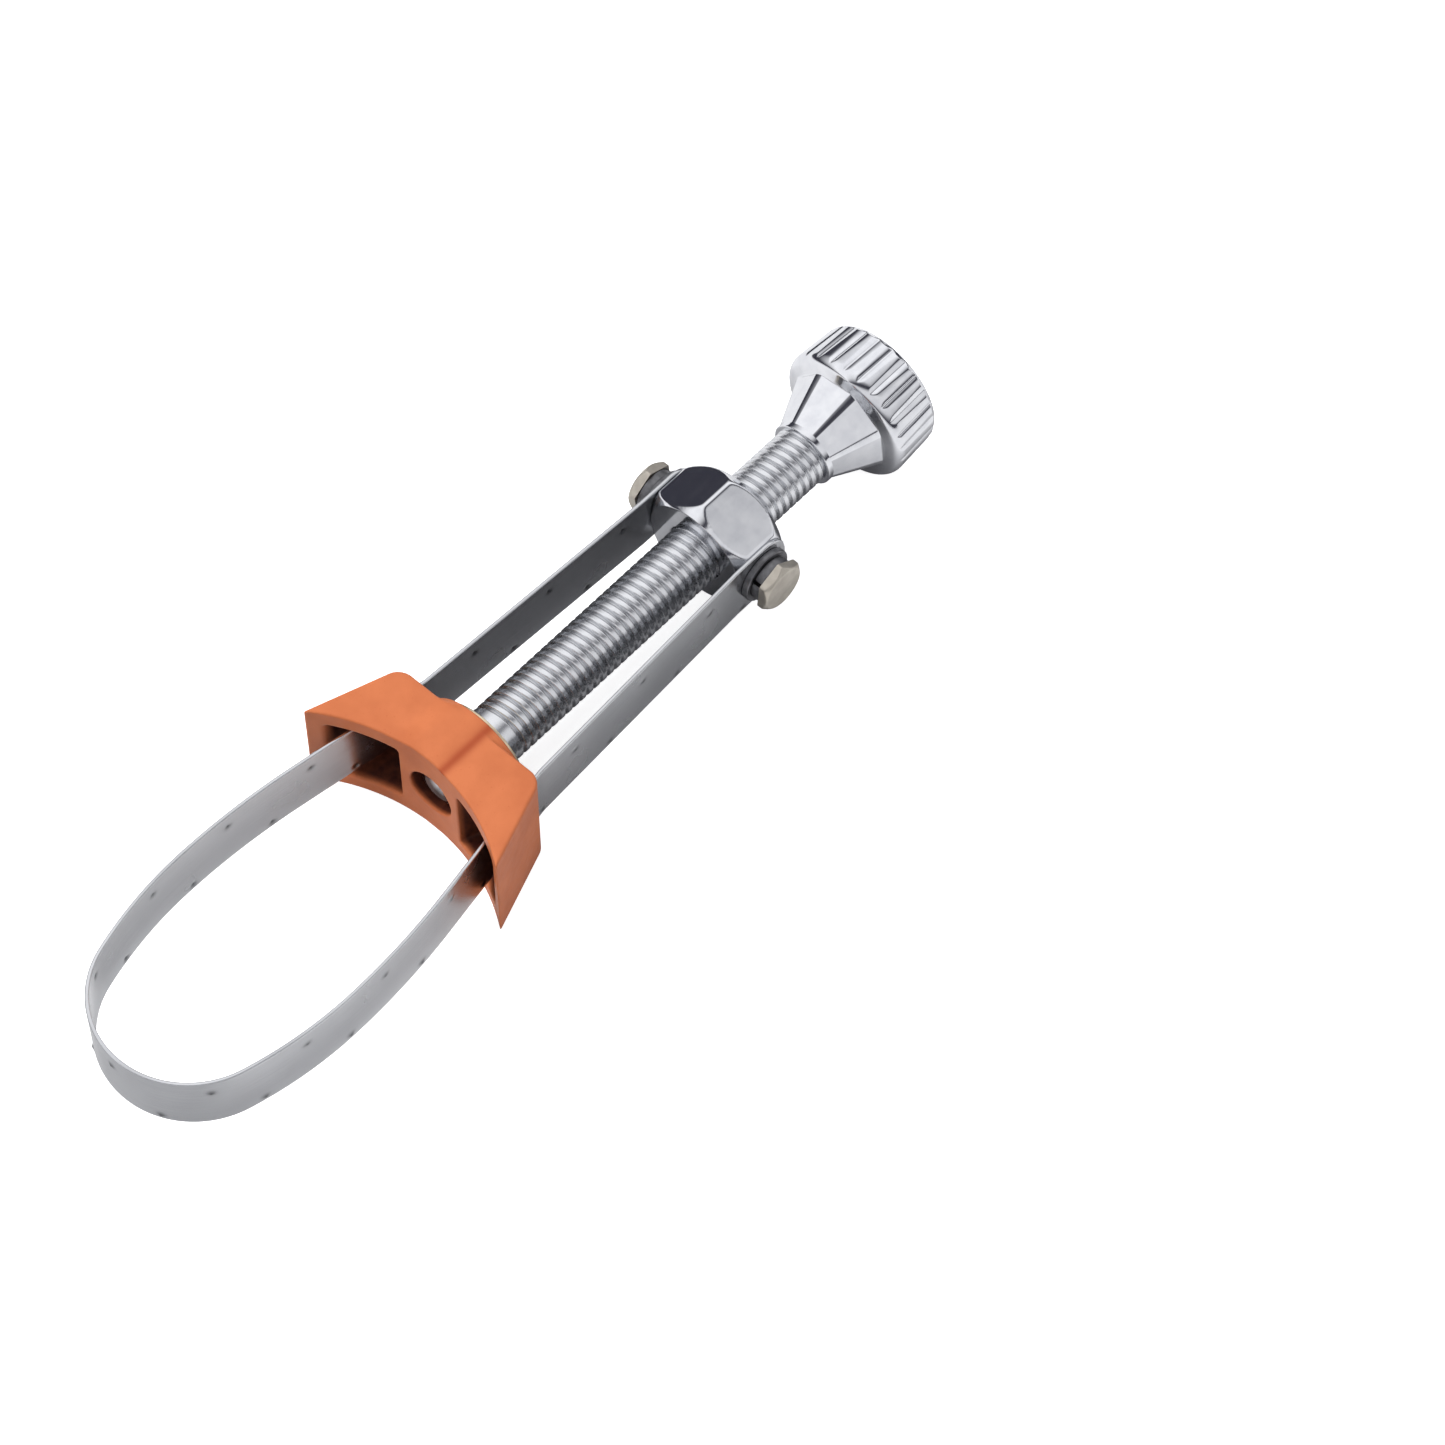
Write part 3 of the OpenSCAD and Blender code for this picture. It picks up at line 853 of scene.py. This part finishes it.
def make_strip(name, path, normal, run, material, round_end=None):
    """Sweeps the strip's section along a path, with punched dents and a rounded free end."""
    half_h = np.full(len(path), STRIP_H / 2)
    if round_end is not None:
        past = np.clip(path[:, 0] - (STRIP_END_X - round_end), 0, round_end)
        half_h = half_h - round_end + np.sqrt(np.maximum(round_end ** 2 - past ** 2, 0.01))
    points, rises, dents = [], [], []
    for offset, side, inset in strip_section():
        on_face = abs(offset) == STRIP_T / 2
        z = side * (half_h - 0.22) if on_face else side * (half_h + inset)
        depth = dent_depth(run, z) * on_face
        across = offset - depth
        x, y = (path[:, c] + normal[:, c] * across for c in (0, 1))
        points.append(np.stack([x, y, z], 1))
        rises.append(z)
        # Share of painted shade in each dent.
        dents.append(np.clip(depth / DENT_DEPTH, 0, 1) ** 0.5)
    points = np.stack(points, 1)
    rows, n = points.shape[:2]
    faces = []
    for i in range(rows - 1):
        for j in range(n):
            k = (j + 1) % n
            faces.append((i * n + j, i * n + k, (i + 1) * n + k, (i + 1) * n + j))
    faces.append(tuple(range(n - 1, -1, -1)))
    faces.append(tuple((rows - 1) * n + j for j in range(n)))
    piece = new_piece(name, points.reshape(-1, 3), faces, material)
    add_values(piece, "strip_run", np.repeat(run, n))
    add_values(piece, "strip_rise", np.stack(rises, 1).ravel())
    add_values(piece, "dent_shade", np.stack(dents, 1).ravel())
    flat_ends(piece)
    keep_flats_flat(piece)
    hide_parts("band")
    return piece


def make_band():
    """The whole strip as one path, made in three pieces that meet inside the saddle's windows."""
    left = band_path()
    path = np.vstack([left[:0:-1], left * [1, -1]])
    direction = np.gradient(path, axis=0)
    direction /= np.linalg.norm(direction, axis=1)[:, None]
    normal = np.stack([-direction[:, 1], direction[:, 0]], 1)
    run = np.append(0, np.cumsum(np.linalg.norm(np.diff(path, axis=0), axis=1)))
    run -= run[-1] / 2
    steel = strip_steel()
    inside = np.flatnonzero(path[:, 0] < JOINT_X)
    first, last = inside[0], inside[-1]
    cuts = (("band_leg_left", slice(0, first + 1)), ("band_loop", slice(first, last + 1)),
            ("band_leg_right", slice(last, len(path))))
    for name, part in cuts:
        loop = name == "band_loop"
        round_end = None if loop else STRIP_END_ROUND
        piece = make_strip(name, path[part], normal[part], run[part], steel, round_end)
        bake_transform(piece)


# ---------------------------------------------------------------- studio

def make_floor():
    """Pale floor that touches the saddle's underside and the knob's rim, the way the tool lies.

    Reflections and bounced light see it darker, a painted shadow under the screw and painted shade beyond the
    loop; the camera sees it evenly pale.
    """
    saddle_low = cad_span("saddle")[0]
    knob_low = cad_span("knob")[0]
    x_front, z_front = saddle_low[0], saddle_low[2]
    x_back, z_back = knob_low[0] + RIM_BOTTOM, -RIM_R
    tilt = math.atan2(z_front - z_back, x_back - x_front)
    s = Shader("pale_floor", (0.86, 0.86, 0.86), 0.0, 0.6)
    pale = s.mix(s.noise(0.02, detail=3), (0.85, 0.85, 0.855), (0.87, 0.87, 0.865))
    across = s.node("ShaderNodeSeparateXYZ")
    s.link(s.place, across.inputs[0])
    from_axis = s.math("ABSOLUTE", across.outputs["Y"])
    # Painted shadow under the screw and painted shade beyond the loop, for every ray but the camera's.
    shadow_under_screw = s.math("MULTIPLY", s.spread(from_axis, 1, 0, 0.008, 0.036),
                         s.spread(across.outputs["X"], 0, 1, 0.010, 0.025))
    shade_past_loop = s.spread(across.outputs["X"], 0.6, 0, -0.075, -0.055)
    seen = s.node("ShaderNodeLightPath").outputs["Is Camera Ray"]
    # Share of painted shadow, left out for camera rays.
    dark = s.math("MULTIPLY", s.math("MAXIMUM", shadow_under_screw, shade_past_loop), s.math("SUBTRACT", 1.0, seen))
    s.colour(s.mix(dark, pale, (0.24, 0.24, 0.25)))
    s.bsdf.inputs["Emission Color"].default_value = (1, 1, 1, 1)
    s.link(s.math("MULTIPLY", seen, 0.78), s.bsdf.inputs["Emission Strength"])
    size = 3000
    points = [(-size, -size, 0), (size, -size, 0), (size, size, 0), (-size, size, 0)]
    floor = new_piece("floor", points, [(0, 1, 2, 3)], s.material)
    floor.rotation_euler = (0, tilt, 0)
    floor.location = (x_front * MM, 0, (z_front - 0.02) * MM)


# The panels overhead lie at a slight angle to the screw: this much sideways for each step along X.
PANEL_TURN = 0.3


def make_world():
    """Studio reflected in the chrome: two bright ceiling panels with a dark gap, over a dark horizon."""
    world = bpy.data.worlds.new("studio")
    bpy.context.scene.world = world
    world.use_nodes = True
    tree = world.node_tree
    place = tree.nodes.new("ShaderNodeTexCoord")
    split = tree.nodes.new("ShaderNodeSeparateXYZ")
    tree.links.new(place.outputs["Generated"], split.inputs[0])
    angle = tree.nodes.new("ShaderNodeMath")
    angle.operation = "ARCTAN2"
    turned = tree.nodes.new("ShaderNodeMath")
    turned.operation = "MULTIPLY_ADD"
    turned.inputs[1].default_value = PANEL_TURN
    tree.links.new(split.outputs["X"], turned.inputs[0])
    tree.links.new(split.outputs["Y"], turned.inputs[2])
    tree.links.new(turned.outputs[0], angle.inputs[0])
    tree.links.new(split.outputs["Z"], angle.inputs[1])
    share = tree.nodes.new("ShaderNodeMapRange")
    share.inputs["From Min"].default_value = -math.pi
    share.inputs["From Max"].default_value = math.pi
    tree.links.new(angle.outputs[0], share.inputs["Value"])
    ramp = tree.nodes.new("ShaderNodeValToRGB")
    stops = [(-96, 0.03), (-86, 0.04), (-76, 0.30), (-68, 0.68), (-58, 0.86), (-46, 0.86), (-32, 0.85),
             (-26, 0.50), (-22, 0.07), (-15, 0.05), (-8, 0.40), (0, 0.85), (13, 1.12), (40, 1.15), (55, 0.80),
             (68, 0.32), (76, 0.06), (96, 0.03)]
    elements = ramp.color_ramp.elements
    while len(elements) < len(stops):
        elements.new(0.5)
    for element, (degrees, level) in zip(elements, stops):
        element.position = degrees / 360 + 0.5
        element.color = (level, level, level * 1.01 + 0.015, 1)
    tree.links.new(share.outputs["Result"], ramp.inputs["Fac"])
    tree.links.new(ramp.outputs["Color"], tree.nodes["Background"].inputs["Color"])
    tree.nodes["Background"].inputs["Strength"].default_value = 1.0


def make_area_light(name, place, size, power, glossy):
    """A square lamp aimed at the middle of the tool."""
    data = bpy.data.lights.new(name, "AREA")
    data.shape = "SQUARE"
    data.size = size
    data.energy = power
    lamp = bpy.data.objects.new(name, data)
    bpy.context.scene.collection.objects.link(lamp)
    lamp.location = place
    target = Vector((0.07, 0, 0))
    lamp.rotation_euler = (target - lamp.location).to_track_quat("-Z", "Y").to_euler()
    lamp.visible_glossy = glossy


def make_camera():
    """Camera by its direction, distance and sideways shift from the point it looks past."""
    azimuth, elevation, roll = math.radians(-47.54), math.radians(58.57), math.radians(-0.08)
    distance, shift_right, shift_up = 1004.7, 69.64, 26.79
    pivot = Vector((22.47, 0, 0))
    ahead = Vector((-math.sin(azimuth) * math.cos(elevation), math.cos(azimuth) * math.cos(elevation),
                    -math.sin(elevation)))
    right = Vector((math.cos(azimuth), math.sin(azimuth), 0))
    up = right.cross(ahead)
    right, up = (right * math.cos(roll) + up * math.sin(roll), up * math.cos(roll) - right * math.sin(roll))
    data = bpy.data.cameras.new("camera")
    data.sensor_width = 36
    data.lens = 132.47
    data.clip_start, data.clip_end = 0.01, 20
    camera = bpy.data.objects.new("camera", data)
    bpy.context.scene.collection.objects.link(camera)
    place = (pivot - ahead * distance + right * shift_right + up * shift_up) * MM
    camera.matrix_world = Matrix((
        (right.x, up.x, -ahead.x, place.x),
        (right.y, up.y, -ahead.y, place.y),
        (right.z, up.z, -ahead.z, place.z),
        (0, 0, 0, 1)))
    bpy.context.scene.camera = camera


make_saddle()
make_thrust_washer()
make_screw()
make_retaining_washer()
make_knob()
make_nut()
for side, word in ((1, "left"), (-1, "right")):
    make_bolt(side, word)
    make_flat_washer(side, word)
    make_lock_washer(side, word)
make_band()
make_floor()
make_world()
make_area_light("key", (-0.3, 0.9, 1.6), 1.2, 24, False)
make_camera()
bpy.context.scene.view_settings.view_transform = "Standard"
